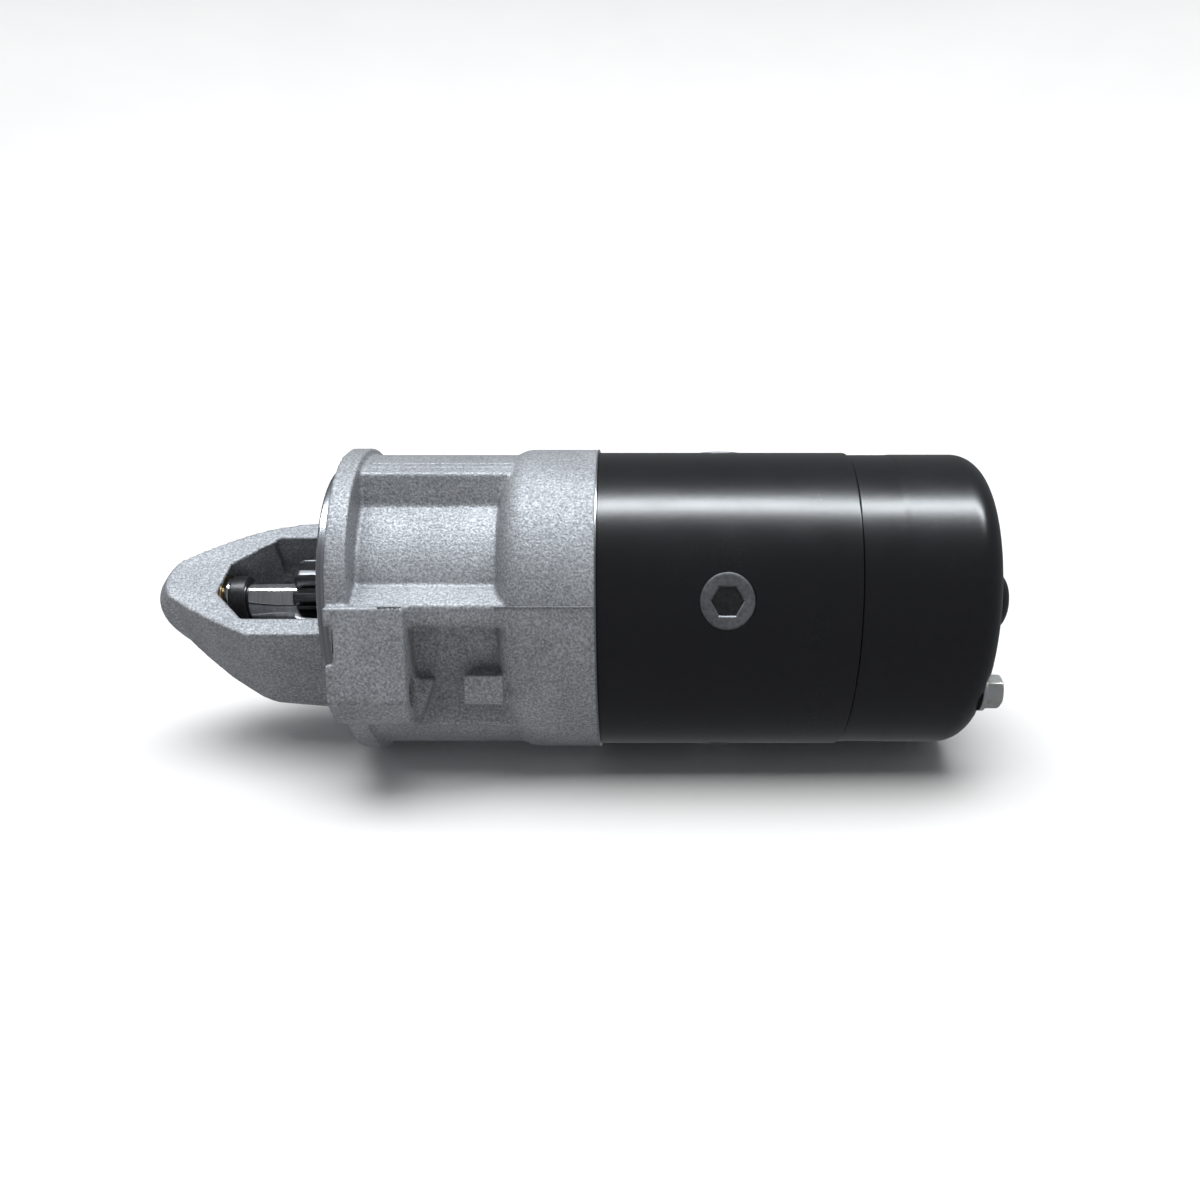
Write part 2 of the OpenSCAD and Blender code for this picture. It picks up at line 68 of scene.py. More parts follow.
# Places along the motor axis, and radii, in millimetres
BELL_R, SOL_R, SOL_Y = 52.0, 27.0, 80.0
YOKE_X0, YOKE_X1, YOKE_R, YOKE_WALL = 84.6, 168.6, 51.0, 4.5
CAP_END, CAP_R, CAP_CORNER, CAP_WALL = 220.0, 50.4, 10.0, 2.0
CAP_FLAT, CAP_SLOPE = 20.0, 7.0
DOME_R, DOME_H = 11.5, 9.5
POLE_X, POLE_HEAD_R = 126.0, 9.0
BOLT_RING, BOLT_SEAT, WASHER_T = 42.4, 212.5, 1.6
BOLT_ANGLES = (45, 225)
STUDS_Y, SOL_SCREW_Z = (93.0, 67.0), 22.0
LEAD_X = 157.2
BRUSH_X = 185.0

# The pieces are made square to the motor, as the camera sees it, then turned to the way it lies,
# on the bell and the solenoid
LAY = Matrix.Rotation(-math.asin((BELL_R - SOL_R) / SOL_Y), 4, "X")


# ---- Mesh helpers ----


def laid_mesh(name, part):
    """A clean mesh from (vertices, faces) in millimetres, laid down with the motor."""
    verts, faces = part
    mesh = bpy.data.meshes.new(name)
    mesh.from_pydata([tuple(v) for v in verts], [], faces)
    mesh.transform(Matrix.Scale(MM, 4))
    mesh.transform(LAY)
    clean(mesh)
    return mesh


def build(name, part, body, nodes, slot, sharp=35, look=None):
    """A piece that rides on a body, takes the place of nodes, and looks like its slot or that look."""
    return finish_piece(name, laid_mesh(name, part), body, nodes, slot, sharp, look)


def finish_piece(name, mesh, body, nodes, slot, sharp, look=None):
    shade(mesh, sharp)
    mesh.materials.clear()
    mesh.materials.append(MATERIALS[look or slot])
    piece = bpy.data.objects.new(name, mesh)
    bpy.context.scene.collection.objects.link(piece)
    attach(piece, body)
    if nodes:
        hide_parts(*nodes)
    return piece


def shade(mesh, sharp):
    """Smooth shading that breaks at edges above that many degrees; 0 breaks nowhere."""
    mesh.shade_smooth()
    if sharp:
        mesh.set_sharp_from_angle(angle=math.radians(sharp))


def clean(mesh):
    """Welds doubled vertices and points the faces outward."""
    bm = bmesh.new()
    bm.from_mesh(mesh)
    bmesh.ops.remove_doubles(bm, verts=bm.verts, dist=1e-6)
    bmesh.ops.dissolve_degenerate(bm, edges=bm.edges, dist=1e-7)
    bmesh.ops.recalc_face_normals(bm, faces=bm.faces)
    bm.to_mesh(mesh)
    bm.free()


def soften(points, radius, steps=4):
    """Rounds every inner corner of an open outline by up to that radius."""
    points = [Vector(p) for p in points]
    out = [tuple(points[0])]
    for a, b, c in zip(points, points[1:], points[2:]):
        reach = min(radius, (a - b).length * 0.45, (c - b).length * 0.45)
        start = b + (a - b).normalized() * reach
        end = b + (c - b).normalized() * reach
        for i in range(steps + 1):
            t = i / steps
            out.append(tuple(start.lerp(b, t).lerp(b.lerp(end, t), t)))
    out.append(tuple(points[-1]))
    return out


def spun(rows, count=96, y=0.0, z=0.0):
    """Rings along X from rows of (x, radius); either may be a function of the ring's angle."""
    verts, faces = [], []
    for x, radius in rows:
        for k in range(count):
            a = 2 * math.pi * k / count
            r = radius(a) if callable(radius) else radius
            along = x(a) if callable(x) else x
            verts.append((along, y + r * math.cos(a), z + r * math.sin(a)))
    for i in range(len(rows) - 1):
        for k in range(count):
            m = (k + 1) % count
            faces.append((i * count + k, i * count + m, (i + 1) * count + m, (i + 1) * count + k))
    first = tuple(range(count - 1, -1, -1))
    last = tuple((len(rows) - 1) * count + k for k in range(count))
    if rows[0] == rows[-1]:
        return verts, faces
    return verts, faces + [first, last]


def joined(parts):
    """One list of vertices and faces from several."""
    verts, faces = [], []
    for v, f in parts:
        start = len(verts)
        verts += list(v)
        faces += [tuple(i + start for i in face) for face in f]
    return verts, faces


def moved(part, matrix):
    verts, faces = part
    return [tuple(matrix @ Vector(v)) for v in verts], faces


def ring_rows(x0, x1, inner, outer, edge):
    """Closed section of a round ring with softened edges."""
    middle = (inner + outer) / 2
    outline = [(x0, middle), (x0, outer), (x1, outer), (x1, inner), (x0, inner), (x0, middle)]
    return soften(outline, edge, 3)


def hex_radius(flats, turn=0.0):
    """Radius of a hexagon at an angle."""

    def radius(a):
        part = (a + turn) % (math.pi / 3) - math.pi / 6
        return flats / 2 / math.cos(part)

    return radius


def cut(piece, cutters):
    """Takes closed cutter meshes, each (vertices, faces) in millimetres, out of a piece."""
    tool = bpy.data.objects.new("cutter", laid_mesh("cutter", joined(cutters)))
    bpy.context.scene.collection.objects.link(tool)
    modifier = piece.modifiers.new("cut", "BOOLEAN")
    modifier.object = tool
    modifier.solver = "EXACT"
    apply_modifiers(piece)
    bpy.data.objects.remove(tool)
    shade(piece.data, 35)


def apply_modifiers(piece):
    bpy.context.view_layer.update()
    graph = bpy.context.evaluated_depsgraph_get()
    mesh = bpy.data.meshes.new_from_object(piece.evaluated_get(graph), depsgraph=graph)
    piece.modifiers.clear()
    piece.data = mesh


def around_bolts():
    out = Matrix.Translation((0, BOLT_RING, 0))
    return [Matrix.Rotation(math.radians(a), 4, "X") @ out for a in BOLT_ANGLES]


def outward(x):
    """Turns a piece made along X to point to +Y at a place along the motor."""
    return Matrix.Translation((x, 0, 0)) @ Matrix.Rotation(math.pi / 2, 4, "Z")


def quarter_turns():
    return [Matrix.Rotation(math.radians(a), 4, "X") for a in (0, 90, 180, 270)]


# ---- Materials ----


class Look:
    """A node material; each call adds a node and returns its output."""

    def __init__(self, name):
        self.material = bpy.data.materials.new(name)
        self.material.use_nodes = True
        self.tree = self.material.node_tree
        self.shader = self.tree.nodes["Principled BSDF"]
        self.place = self.tree.nodes.new("ShaderNodeTexCoord").outputs["Object"]

    def feed(self, socket, value):
        if isinstance(value, bpy.types.NodeSocket):
            self.tree.links.new(value, socket)
        elif value is not None:
            socket.default_value = value

    def set(self, **inputs):
        for key, value in inputs.items():
            self.feed(self.shader.inputs[key.replace("_", " ")], value)

    def noise(self, scale, detail=2.0, rough=0.5, stretch=None):
        node = self.tree.nodes.new("ShaderNodeTexNoise")
        node.inputs["Scale"].default_value = scale
        node.inputs["Detail"].default_value = detail
        node.inputs["Roughness"].default_value = rough
        place = self.place
        if stretch:
            mapping = self.tree.nodes.new("ShaderNodeMapping")
            mapping.inputs["Scale"].default_value = stretch
            self.feed(mapping.inputs["Vector"], place)
            place = mapping.outputs["Vector"]
        self.feed(node.inputs["Vector"], place)
        return node.outputs["Fac"]

    def ramp(self, fac, *stops):
        node = self.tree.nodes.new("ShaderNodeValToRGB")
        elements = node.color_ramp.elements
        while len(elements) < len(stops):
            elements.new(0.5)
        for element, (at, color) in zip(elements, stops):
            element.position = at
            element.color = (*color, 1) if len(color) == 3 else color
        self.feed(node.inputs["Fac"], fac)
        return node.outputs["Color"]

    def spread(self, fac, low, high):
        """Maps 0..1 to low..high."""
        node = self.tree.nodes.new("ShaderNodeMapRange")
        self.feed(node.inputs["Value"], fac)
        node.inputs["To Min"].default_value = low
        node.inputs["To Max"].default_value = high
        return node.outputs["Result"]

    def math(self, kind, a, b):
        node = self.tree.nodes.new("ShaderNodeMath")
        node.operation = kind
        self.feed(node.inputs[0], a)
        self.feed(node.inputs[1], b)
        return node.outputs[0]

    def bump(self, height, strength, distance, under=None):
        node = self.tree.nodes.new("ShaderNodeBump")
        node.inputs["Strength"].default_value = strength
        node.inputs["Distance"].default_value = distance
        self.feed(node.inputs["Height"], height)
        if under is not None:
            self.feed(node.inputs["Normal"], under)
        return node.outputs["Normal"]


def cast_aluminium():
    look = Look("cast_aluminium")
    grain = look.noise(1300, 2.0, 0.6)
    fine = look.noise(3600, 1.0)
    patch = look.noise(35, 3.0)
    mixed = look.math("ADD", look.math("MULTIPLY", grain, 0.75), look.math("MULTIPLY", patch, 0.25))
    look.set(
        Base_Color=look.ramp(
            mixed, (0.34, (0.16, 0.167, 0.178)), (0.5, (0.27, 0.28, 0.298)), (0.66, (0.42, 0.435, 0.46))
        ),
        Metallic=0.4,
        Roughness=look.spread(grain, 0.72, 0.46),
        Normal=look.bump(fine, 0.4, 0.00005, look.bump(grain, 0.8, 0.0002)),
    )
    return look.material


def machined_aluminium():
    look = Look("machined_aluminium")
    rings = look.noise(900, 2.0, 0.5, (1.0, 0.02, 0.02))
    look.set(
        Base_Color=look.ramp(rings, (0.35, (0.36, 0.37, 0.39)), (0.65, (0.56, 0.57, 0.6))),
        Metallic=1.0,
        Roughness=look.spread(rings, 0.16, 0.3),
        Normal=look.bump(rings, 0.25, 0.00002),
    )
    return look.material


def black_paint():
    look = Look("black_paint")
    peel = look.noise(420, 1.5, 0.45)
    dust = look.noise(2600, 2.0)
    look.set(
        Base_Color=look.ramp(dust, (0.35, (0.004, 0.004, 0.005)), (0.8, (0.01, 0.01, 0.012))),
        Roughness=look.spread(look.noise(60, 3.0), 0.22, 0.3),
        Specular_IOR_Level=0.5,
        Normal=look.bump(peel, 0.3, 0.00004, look.bump(dust, 0.2, 0.00002)),
    )
    return look.material


def steel(name, dark, light, rough, metallic=1.0, stretch=(1.0, 0.05, 0.05), grain=1500):
    """Bare, ground or plated metal with fine marks."""
    look = Look(name)
    marks = look.noise(grain, 2.0, 0.55, stretch)
    stain = look.noise(90, 3.0)
    tone = look.math("ADD", look.math("MULTIPLY", marks, 0.5), look.math("MULTIPLY", stain, 0.5))
    look.set(
        Base_Color=look.ramp(tone, (0.35, dark), (0.62, light)),
        Metallic=metallic,
        Roughness=look.spread(stain, rough * 0.8, rough * 1.3),
        Normal=look.bump(marks, 0.2, 0.00002),
    )
    return look.material


def plain(name, dark, light, rough, scale=800, depth=0.00004):
    """Rubber, plastic, carbon and varnish: no metal, a fine uneven surface."""
    look = Look(name)
    grain = look.noise(scale, 3.0, 0.6)
    look.set(
        Base_Color=look.ramp(grain, (0.3, dark), (0.7, light)),
        Roughness=look.spread(look.noise(120, 2.0), rough * 0.85, rough * 1.15),
        Normal=look.bump(grain, 0.4, depth),
    )
    return look.material


def zinc():
    look = Look("zinc_plate")
    bloom = look.noise(260, 3.0)
    look.set(
        Base_Color=look.ramp(
            bloom, (0.3, (0.5, 0.5, 0.45)), (0.5, (0.62, 0.62, 0.6)), (0.7, (0.56, 0.58, 0.64))
        ),
        Metallic=0.9,
        Roughness=look.spread(look.noise(700, 2.0), 0.28, 0.46),
        Normal=look.bump(look.noise(1500, 2.0), 0.15, 0.00002),
    )
    return look.material


MATERIALS = {
    "cast_aluminium": cast_aluminium(),
    "machined": machined_aluminium(),
    "black_paint": black_paint(),
    "bright_steel": steel("bright_steel", (0.5, 0.5, 0.51), (0.72, 0.72, 0.73), 0.1),
    "dark_steel": steel("dark_steel", (0.09, 0.095, 0.1), (0.17, 0.175, 0.185), 0.45, 0.6, None, 900),
    # The black oxide also gives the painted shade of the plugs in the pole screws' sockets
    "black_oxide_and_shade": steel("black_oxide_and_shade", (0.008, 0.008, 0.009), (0.03, 0.03, 0.032), 0.35, 0.3, None, 900),
    "tooth_steel": steel("tooth_steel", (0.06, 0.06, 0.065), (0.2, 0.2, 0.21), 0.3, 1.0, (0.1, 1.0, 1.0)),
    "zinc_plate": zinc(),
    "bronze": steel("bronze", (0.38, 0.26, 0.12), (0.66, 0.48, 0.25), 0.34),
    "copper": steel("copper", (0.52, 0.25, 0.13), (0.8, 0.46, 0.3), 0.28, 1.0, None),
    "winding": steel("winding", (0.22, 0.07, 0.03), (0.5, 0.2, 0.09), 0.3, 0.6, None, 500),
    "carbon": plain("carbon", (0.02, 0.02, 0.02), (0.07, 0.065, 0.06), 0.6),
    "black_plastic": plain("black_plastic", (0.012, 0.012, 0.012), (0.03, 0.03, 0.03), 0.42),
    "rubber": plain("rubber", (0.01, 0.01, 0.01), (0.028, 0.028, 0.028), 0.75, 500),
}


# ---- Drive housing ----


def relaxed(points, edges, rounds):
    """Taubin smoothing, which rounds edges and keeps the volume."""
    count = len(points)
    ends = np.concatenate((edges[:, 0], edges[:, 1]))
    others = np.concatenate((edges[:, 1], edges[:, 0]))
    degree = np.bincount(ends, minlength=count).clip(1)
    for _ in range(rounds):
        # One step draws the points together, and the next pushes them back a little more
        for pull in (0.55, -0.56):
            total = np.column_stack([np.bincount(ends, points[others, k], count) for k in range(3)])
            points = points + pull * (total / degree[:, None] - points)
    return points


def cast_skin(name, node, body, slot, voxel, rounds):
    """The node's own shape with the soft edges and corners of a casting."""
    piece = bpy.data.objects.new(name, frame["nodes"][node].data.copy())
    bpy.context.scene.collection.objects.link(piece)
    clean(piece.data)
    remesh = piece.modifiers.new("remesh", "REMESH")
    remesh.mode = "VOXEL"
    remesh.voxel_size = voxel * MM
    apply_modifiers(piece)
    mesh = piece.data
    points = np.empty(len(mesh.vertices) * 3)
    mesh.vertices.foreach_get("co", points)
    points = points.reshape(-1, 3)
    edges = np.empty(len(mesh.edges) * 2, dtype=np.int64)
    mesh.edges.foreach_get("vertices", edges)
    edges = edges.reshape(-1, 2)
    points = relaxed(points, edges, rounds)
    mesh.vertices.foreach_set("co", points.ravel())
    mesh.update()
    thin = piece.modifiers.new("thin", "DECIMATE")
    thin.ratio = 0.45
    apply_modifiers(piece)
    mesh = piece.data
    bpy.data.objects.remove(piece)
    clean(mesh)
    return finish_piece(name, mesh, body, [node], slot, 0)


def ridge(path, half, heights):
    """A thin three-sided bead on the camera's side, along (x, radius) points of the skin."""
    verts, faces = [], []
    for (x, r), height in zip(path, heights):
        verts += [(x, -(r - 0.5), half - 1.8), (x, -(r + height), -1.8), (x, -(r - 0.5), -half - 1.8)]
    for i in range(len(path) - 1):
        for j in range(3):
            m = (j + 1) % 3
            faces.append((3 * i + j, 3 * i + m, 3 * i + 3 + m, 3 * i + 3 + j))
    last = 3 * (len(path) - 1)
    return verts, faces + [(2, 1, 0), (last, last + 1, last + 2)]


def parting_flash():
    """The fine seam where the two halves of the mould met, and a ragged burr on the lug."""
    rng = np.random.default_rng(4)
    # The seam climbs from the barrel to the bell over a round shoulder
    start_x, shoulder_x, shoulder_r, barrel_r = 52.6, 62.5, 10.0, 50.15
    xs = np.arange(start_x, 84.3, 0.7)
    off = shoulder_x - np.clip(xs, start_x, shoulder_x)
    shoulder = BELL_R - shoulder_r + np.sqrt(np.clip(shoulder_r**2 - off**2, 0, shoulder_r**2))
    radii = np.maximum(barrel_r, shoulder)
    seam = ridge(list(zip(xs, radii)), 0.3, 0.3 + 0.08 * rng.random(len(xs)))
    burr_x = np.arange(17.0, 24.4, 0.35)
    burr = ridge([(x, 54.8) for x in burr_x], 0.3, 0.05 + 0.6 * rng.random(len(burr_x)) ** 3)
    back = Matrix.Rotation(math.pi, 4, "X")
    # Two fine lines along the saddle, left by the insert that shaped it
    lines = []
    line_x = np.arange(9.0, 60.5, 1.0)
    for tilt in (62.0, 65.5):
        line = ridge([(x, 50.25) for x in line_x], 0.25, 0.12 + 0.04 * rng.random(len(line_x)))
        lines.append(moved(line, Matrix.Rotation(math.radians(-tilt), 4, "X")))
    build(
        "parting_flash", joined([seam, burr, moved(seam, back), *lines]),
        "frame", [], "cast_aluminium", 0,
    )


def drive_housing():
    cast_skin("housing_casting", "drive_housing", "frame", "cast_aluminium", voxel=0.7, rounds=7)
    parting_flash()
    spigot = soften(
        [(-4.55, 40.0), (-4.55, 45.4), (-4.0, 46.05), (0.3, 46.05), (0.3, 40.0)], 0.3, 3
    )
    build(
        "spigot_face", spun(spigot + [spigot[0]], 180),
        "frame", [], "cast_aluminium", look="machined",
    )
    rim = soften([(84.2, 48.0), (84.2, 52.06), (84.65, 52.06), (84.65, 48.0)], 0.1, 2)
    build("bell_rim", spun(rim + [rim[0]], 180), "frame", [], "cast_aluminium", look="machined")


# ---- Yoke and end cap ----


def pole_pit():
    """Countersunk seat of a pole screw, as a closed cutter."""
    rows = [(44.0, 4.0), (46.0, 4.0), (49.8, POLE_HEAD_R), (60.0, POLE_HEAD_R)]
    return moved(spun(rows, 64), outward(POLE_X))


def lead_hole():
    return moved(spun([(44.0, 8.0), (60.0, 8.0)], 64), outward(LEAD_X))


def yoke():
    r0, r1 = YOKE_R - YOKE_WALL, YOKE_R
    outline = [(YOKE_X0, 48.5), (YOKE_X0, r1), (YOKE_X1, r1), (YOKE_X1, r0), (YOKE_X0, r0), (YOKE_X0, 48.5)]
    part = spun(soften(outline, 0.5, 4), 256)
    piece = build("yoke_shell", part, "frame", ["yoke"], "black_paint", 40)
    cut(piece, [moved(pole_pit(), turn) for turn in quarter_turns()] + [lead_hole()])


def cap_profile(r, corner, x0, x1):
    """Half section of the cup as (x, radius) rows, from its open edge to its axis."""
    slope_end = (x1 - CAP_SLOPE, r)
    flat_end = (x1, CAP_FLAT)
    turn = math.atan2(flat_end[0] - slope_end[0], slope_end[1] - flat_end[1])
    # The corner's round touches the side and the slope
    reach = corner * math.tan((math.pi / 2 - turn) / 2)
    start = slope_end[0] - reach
    rows = [(x0 + (start - x0) * i / 60, r) for i in range(61)]
    for i in range(1, 25):
        a = (math.pi / 2 - turn) * i / 24
        rows.append((start + corner * math.sin(a), r - corner + corner * math.cos(a)))
    x, low = rows[-1]
    for i in range(1, 41):
        t = i / 40
        rows.append((x + (flat_end[0] - x) * t, low + (flat_end[1] - low) * t))
    rows += [(x1, CAP_FLAT * (1 - i / 30)) for i in range(1, 30)]
    return rows


def smooth_step(low, high, value):
    t = np.clip((value - low) / (high - low), 0, 1)
    return t * t * (3 - 2 * t)


def pressed(part, seat, reach, dome_r, dome_edge):
    """Presses the flat bolt seats and the bush dome, rounded over dome_edge, into a cup's end."""
    seat_blend, foot_h, foot_run = 2.4, 0.8, 1.6
    verts = np.array(part[0])
    for a in BOLT_ANGLES:
        y, z = BOLT_RING * math.cos(math.radians(a)), BOLT_RING * math.sin(math.radians(a))
        away = np.hypot(verts[:, 1] - y, verts[:, 2] - z)
        share = 1 - smooth_step(reach, reach + seat_blend, away)
        deep = np.maximum(verts[:, 0] - seat, 0)
        verts[:, 0] -= deep * share
    radius = np.hypot(verts[:, 1], verts[:, 2])
    end = verts[:, 0] > seat + 4
    # A rounded pot: steep at its side, with soft corners above and below
    inside = np.clip((dome_r + 0.6 - radius) / dome_edge, 0, 1)
    foot = foot_h * np.exp(-np.clip(radius - dome_r, 0, None) / foot_run)
    rise = np.where(inside > 0, foot_h + (DOME_H - foot_h) * np.sqrt(1 - (1 - inside) ** 2), foot)
    verts[:, 0] += np.where(end, rise, 0)
    return [tuple(v) for v in verts], part[1]


def end_cap():
    outer = cap_profile(CAP_R, CAP_CORNER, YOKE_X1 + 0.5, CAP_END)
    # The drawn step where the cup's wall was set to size
    step, count = 183.5, 288
    outer = [(x, r - 0.14 * (1 - float(smooth_step(step - 0.6, step + 0.6, x)))) for x, r in outer]
    inner = cap_profile(CAP_R - CAP_WALL, CAP_CORNER - CAP_WALL, YOKE_X1 + 0.5, CAP_END - CAP_WALL)
    lip = [(YOKE_X1 + 0.15, CAP_R - 0.45), (YOKE_X1 + 0.15, CAP_R - CAP_WALL + 0.35)]
    shell = spun(outer + [(CAP_END, 0.0001)], count)
    shell = pressed(shell, BOLT_SEAT, 7.4, DOME_R, 7.1)
    lining = spun(inner + [(CAP_END - CAP_WALL, 0.0001)], count)
    lining = pressed(lining, BOLT_SEAT - CAP_WALL, 9.0, DOME_R - CAP_WALL, 2.0)
    # The open ends have no end faces, and the lining faces inward
    shell = shell[0], shell[1][:-2]
    lining = lining[0], [tuple(reversed(f)) for f in lining[1][:-2]]
    rim = spun([outer[0], *lip, inner[0]], count)
    rim = rim[0], rim[1][:-2]
    build("end_cap_shell", joined([shell, lining, rim]), "frame", ["end_cap"], "black_paint", 50)


def pole_screw():
    """Countersunk screw with a hex socket, pointing to +Y."""
    top, floor, socket = 50.8, 47.3, 9.0
    rows = [
        (37.0, 3.4), (37.6, 4.0), (46.0, 4.0), (49.7, 8.9), (50.25, 8.95), (50.62, 8.7),
        (50.78, 8.35), (top, 8.0), (top, hex_radius(socket + 0.9)), (top - 0.4, hex_radius(socket)),
        (floor, hex_radius(socket)), (floor - 0.9, 0.05),
    ]
    return moved(spun(rows, 96), outward(POLE_X))


def pole_screws():
    parts = [moved(pole_screw(), turn) for turn in quarter_turns()]
    build("pole_screw_heads", joined(parts), "frame", ["pole_screws"], "dark_steel", 30)
    # A black plug, set 0.5 mm down, closes each hex socket and paints the shade deep inside it
    flats = hex_radius(9.1)
    rows = [(50.3, 0.05), (50.3, flats), (47.25, flats), (47.2, 0.05)]
    parts = [moved(spun(rows, 96), turn @ outward(POLE_X)) for turn in quarter_turns()]
    build("pole_screw_socket_shade", joined(parts), "frame", [], "dark_steel", 30, look="black_oxide_and_shade")


def hex_head(x0, x1, flats, top=0.85):
    """Rows of a hex head with a rounded top face, turned to where it came to rest when tightened."""
    full = hex_radius(flats, math.radians(17))

    def capped(limit):
        return lambda a: min(full(a), limit)

    corner = flats / 2 / math.cos(math.pi / 6)
    flat = flats / 2
    rows = [(x0, flat * 0.9), (x0, capped(flat * 1.02)), (x0 + 0.25, capped(corner))]
    for back, share in ((0.7, 1), (0.38, 0.965), (0.12, 0.91)):
        rows.append((x1 - back, capped(corner * share)))
    rows += [(x1, capped(flat * 0.97)), (x1, flat * top)]
    rows += [(x1 - 0.25, flat * (top - 0.12)), (x1 - 0.25, 0.05)]
    return rows


def thread_rows(x0, x1, r, pitch, depth=None):
    """Rows of a thread drawn as even grooves."""
    depth = depth or pitch * 0.55
    rows = []
    turns = max(1, int((x1 - x0) / pitch))
    step = (x1 - x0) / turns
    for i in range(turns):
        x = x0 + i * step
        rows += [(x, r - depth), (x + step * 0.4, r), (x + step * 0.6, r)]
    return rows + [(x1, r - depth)]


def through_bolts():
    seat = BOLT_SEAT + WASHER_T
    bolt = joined([
        spun([(70, 2.2)] + thread_rows(70.5, 84, 3.0, 1.0) + [(84.5, 2.9), (seat + 0.5, 2.9)], 48),
        spun(hex_head(seat, seat + 5.5, 10), 96),
    ])
    parts = [moved(bolt, place) for place in around_bolts()]
    build("through_bolt_set", joined(parts), "frame", ["through_bolts"], "zinc_plate", 28)
    washer = spun(ring_rows(BOLT_SEAT, seat, 3.05, 6.5, 0.35), 96)
    parts = [moved(washer, place) for place in around_bolts()]
    build("bolt_washer_set", joined(parts), "frame", ["bolt_washers"], "zinc_plate", 30)


# ---- Armature and drive ----


def tooth_outline(teeth=10, root=10.0, tip=15.0):
    """Radius of the pinion at an angle, with curved flanks."""
    pitch, first = 2 * math.pi / teeth, math.radians(175)
    steps = [
        (0.0, tip), (4.6, tip), (6.2, tip - 0.5), (8.4, tip - 1.7), (11.8, root + 1.5), (14.2, root),
        (18, root),
    ]

    def radius(a):
        off = math.degrees(abs((a - first + pitch / 2) % pitch - pitch / 2))
        for (a0, r0), (a1, r1) in zip(steps, steps[1:]):
            if off <= a1:
                return r0 + (r1 - r0) * (off - a0) / (a1 - a0)
        return root

    return radius


def pinion():
    teeth = tooth_outline()

    def upto(limit):
        return lambda a: min(teeth(a), limit)

    rows = [
        (22.0, 7.05), (24.1, 7.25), (24.3, 7.6), (24.3, 13.6), (23.9, 14.0), (12.7, 14.0),
        (12.3, 13.6), (12.3, 11.5), (-4.2, 11.5), (-4.2, upto(11.6)), (-4.2, upto(14.6)),
        (-4.6, upto(15.1)), (-19.8, upto(15.1)), (-20.6, upto(14.8)), (-21.6, upto(14.2)),
        (-22.1, upto(13.7)), (-22.2, upto(13.4)), (-22.2, 9.0), (-22.2, 7.9), (-21.6, 7.05), (22.0, 7.05),
    ]
    build(
        "pinion_gear", spun(rows, 480),
        "pinion", ["pinion"], "dark_steel", 22, look="tooth_steel",
    )


def shaft():
    def splined(r, deep):
        def radius(a):
            part = (a + math.pi / 8) % (math.pi / 4) - math.pi / 8
            return deep if abs(math.degrees(part)) < 11.2 else r

        return radius

    rows = [
        (-64, 0.05), (-64, 5.8), (-63.3, 6.5), (-48.3, 6.5), (-47.9, 6.9), (-47.5, 7.0), (24.6, 7.0),
        (25.0, 7.3), (25.4, splined(8.6, 7.6)), (52.0, splined(8.6, 7.6)), (52.1, 8.6), (54.0, 8.6),
        (54.2, 9.0), (71.6, 9.0), (72.2, 9.9), (72.6, 10.0), (203.6, 10.0), (204.0, 9.6), (204.0, 6.4),
        (204.4, 6.2), (223.5, 6.2), (224.0, 5.7), (224.0, 0.05),
    ]
    build("shaft_turned", spun(rows, 240), "armature", ["armature_shaft"], "bright_steel", 30)


def rings():
    """Small turned rings with softened edges."""
    build(
        "stop_ring", spun(ring_rows(-46.4, -41.0, 7.0, 8.8, 0.5), 128),
        "armature", ["stop_collar"], "dark_steel", 35, look="black_oxide_and_shade",
    )
    washers = [
        spun(ring_rows(-48.0, -46.6, 7.0, 8.6, 0.3), 96), spun(ring_rows(205.0, 206.5, 6.25, 9.5, 0.3), 96),
    ]
    build("thrust_washer_set", joined(washers), "armature", ["thrust_washers"], "bright_steel", 35)
    build(
        "nose_bush_ring", spun(ring_rows(-64.5, -49.0, 6.55, 9.0, 0.6), 128),
        "frame", ["nose_bush"], "bronze", 35,
    )
    build(
        "rear_bush_ring", spun(ring_rows(214.0, 224.5, 6.25, 9.45, 0.6), 128),
        "frame", ["rear_bush"], "bronze", 35,
    )
    build(
        "centre_bush_ring", spun(ring_rows(56.0, 68.0, 9.05, 11.0, 0.5), 128),
        "frame", ["centre_bush"], "bronze", 35,
    )


def wound(r, wire, x0, x1, turns, y=0.0, sides=10, steps=32):
    """A round wire wound along X, with closed and flattened end turns."""
    count = int(turns * steps)
    verts, faces = [], []
    span = x1 - x0 - 2 * wire
    for i in range(count + 1):
        a = 2 * math.pi * i / steps
        centre = x0 + wire + span * i / count
        for j in range(sides):
            b = 2 * math.pi * j / sides
            q = r + wire * math.cos(b)
            verts.append((centre + wire * math.sin(b), y + q * math.cos(a), q * math.sin(a)))
    for i in range(count):
        for j in range(sides):
            m = (j + 1) % sides
            faces.append((i * sides + j, i * sides + m, (i + 1) * sides + m, (i + 1) * sides + j))
    faces.append(tuple(range(sides - 1, -1, -1)))
    faces.append(tuple(count * sides + j for j in range(sides)))
    return verts, faces


def springs():
    build(
        "meshing_coil", wound(r=14, wire=1.0, x0=30.1, x1=37.7, turns=3),
        "drive", ["meshing_spring"], "bright_steel", 0,
    )
    coil = build(
        "return_coil", wound(r=6, wire=0.7, x0=60.1, x1=89.9, turns=6, y=SOL_Y),
        "frame", ["return_spring"], "bright_steel", 0,
    )
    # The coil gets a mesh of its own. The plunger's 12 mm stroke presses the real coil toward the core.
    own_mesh(coil)
    one = wound(r=3, wire=0.5, x0=32.05, x1=40.4, turns=4, sides=8, steps=24)
    one = moved(one, outward(BRUSH_X))
    build(
        "brush_coils", joined([moved(one, turn) for turn in quarter_turns()]),
        "frame", ["brush_springs"], "bright_steel", 0,
    )


# ---- Solenoid ----


